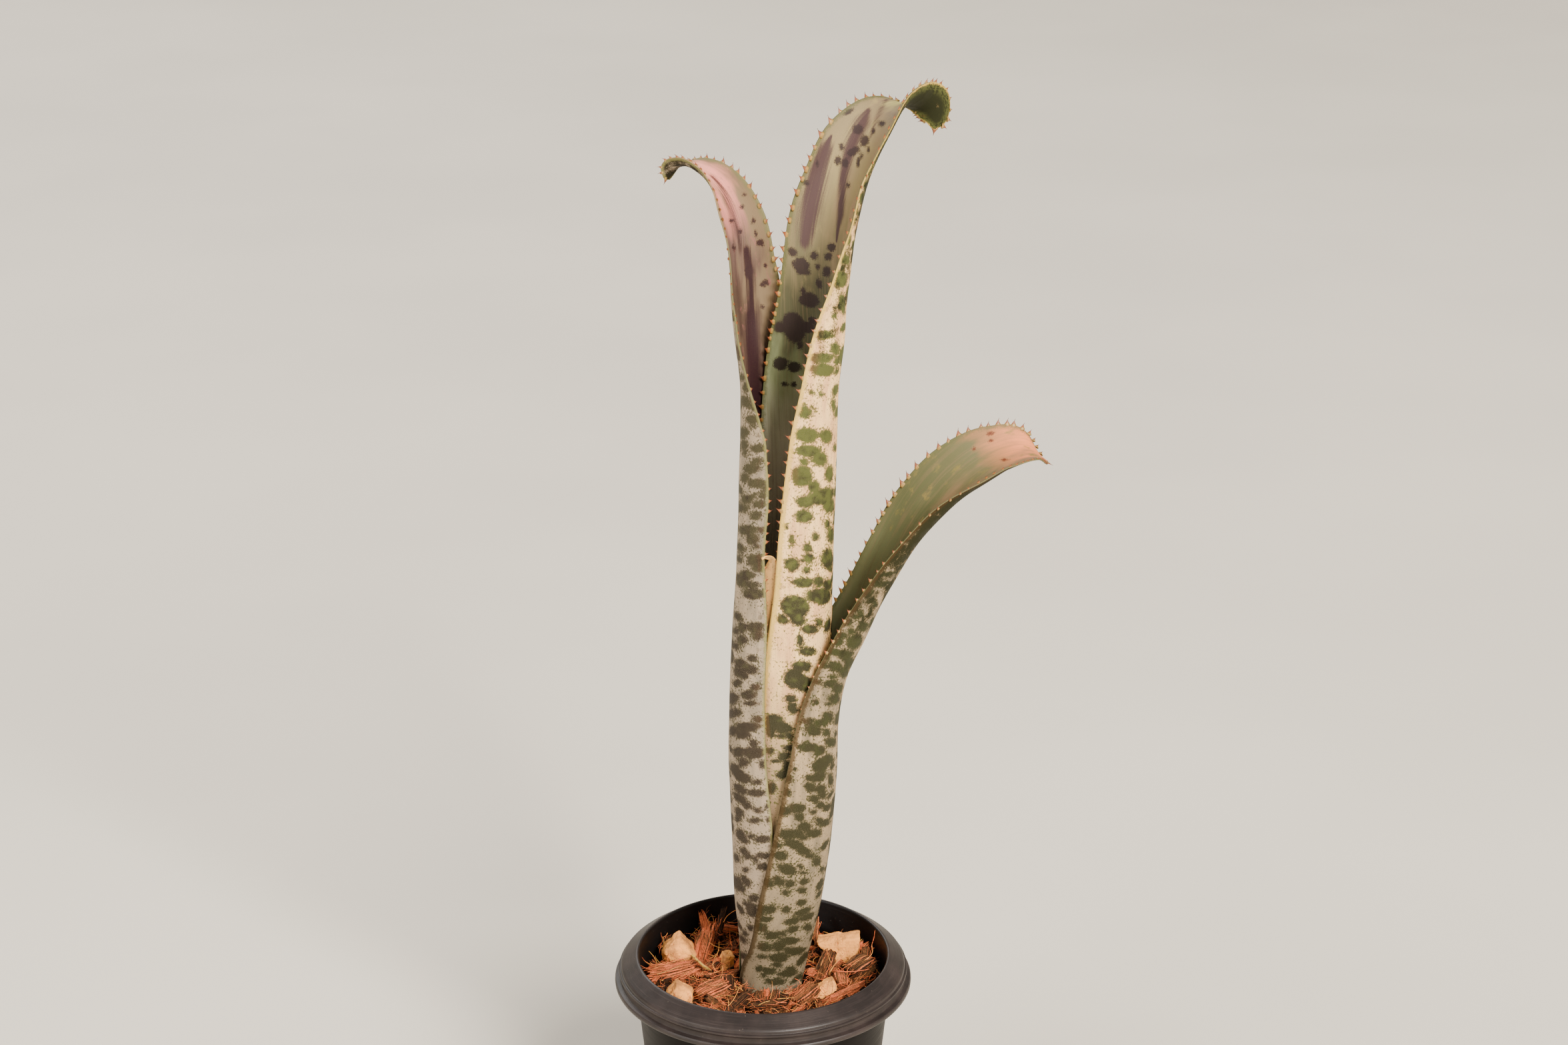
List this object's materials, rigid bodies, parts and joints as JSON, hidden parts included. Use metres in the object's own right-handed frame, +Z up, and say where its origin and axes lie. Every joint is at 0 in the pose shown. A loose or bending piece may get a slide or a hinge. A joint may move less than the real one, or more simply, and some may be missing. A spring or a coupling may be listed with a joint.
{
  "type": "potted tubular bromeliad",
  "caption": "Upright tubular bromeliad with rolled, spiny-edged, blotched strap leaves in a round nursery pot of husk chips and pumice.",
  "frame": {"origin": "the middle of the pot's underside, on the surface that the pot stands on", "axes": "+Z up, +X to the right and -Y to the front, as the picture shows the plant"},
  "size_m": [0.1582, 0.11, 0.415],
  "materials": {
    "black_plastic": "satin black, finely scratched",
    "coconut_husk": null,
    "pumice": "matt, pale cream",
    "pale_stem": null,
    "scurfy_leaf": "matt scurf over a tough leaf, creamy white with olive blotches outside and mauve to green inside",
    "dry_leaf": "dry and matt"
  },
  "bodies": {
    "root": {"pot": "black_plastic", "husk_bed": "coconut_husk", "pumice_stone_1": "pumice", "pumice_stone_2": "pumice", "pumice_stone_3": "pumice", "pumice_stone_4": "pumice", "pumice_stone_5": "pumice", "stock": "pale_stem", "leaf_left": "scurfy_leaf", "leaf_tall": "scurfy_leaf", "leaf_right": "scurfy_leaf", "leaf_inner": "dry_leaf"}
  },
  "joints": []
}
